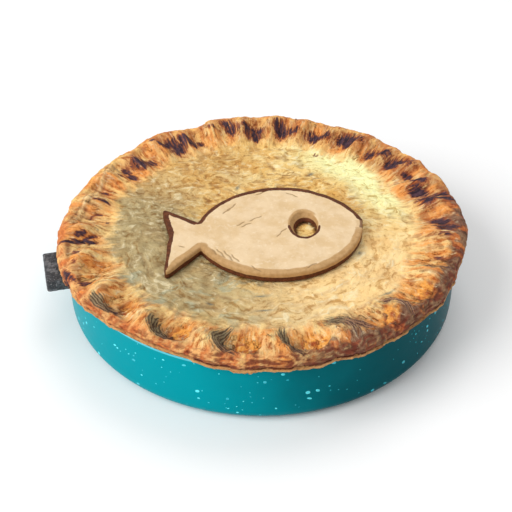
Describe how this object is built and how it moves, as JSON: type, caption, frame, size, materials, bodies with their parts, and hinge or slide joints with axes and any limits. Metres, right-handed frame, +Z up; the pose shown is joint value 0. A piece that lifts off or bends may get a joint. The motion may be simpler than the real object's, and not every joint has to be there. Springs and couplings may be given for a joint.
{
  "type": "fish pie",
  "caption": "Round deep pie with a crimped, browned crust and a cut-out pastry fish on its lid, baked in a speckled enamelled dish with one short grip.",
  "frame": {"origin": "centre of the dish's flat underside, on the dish's axis", "axes": "+Z up through the lid, +X along the pastry fish from tail to nose and away from the grip, +Y towards the back of the pie as the fish is seen the right way up"},
  "size_m": [0.268, 0.2552, 0.0566],
  "materials": {
    "enamel": "glossy teal enamel with small pale blue specks",
    "grip_iron": "dark grey speckled, satin",
    "crust": "flaky baked pastry, pale lid, golden rim with burnt crimps",
    "fish_pastry": "pale smooth baked pastry with a toasted brown edge"
  },
  "bodies": {
    "root": {"dish": "enamel", "grip": "grip_iron", "pie": "crust", "pastry_fish": "fish_pastry"}
  },
  "joints": []
}
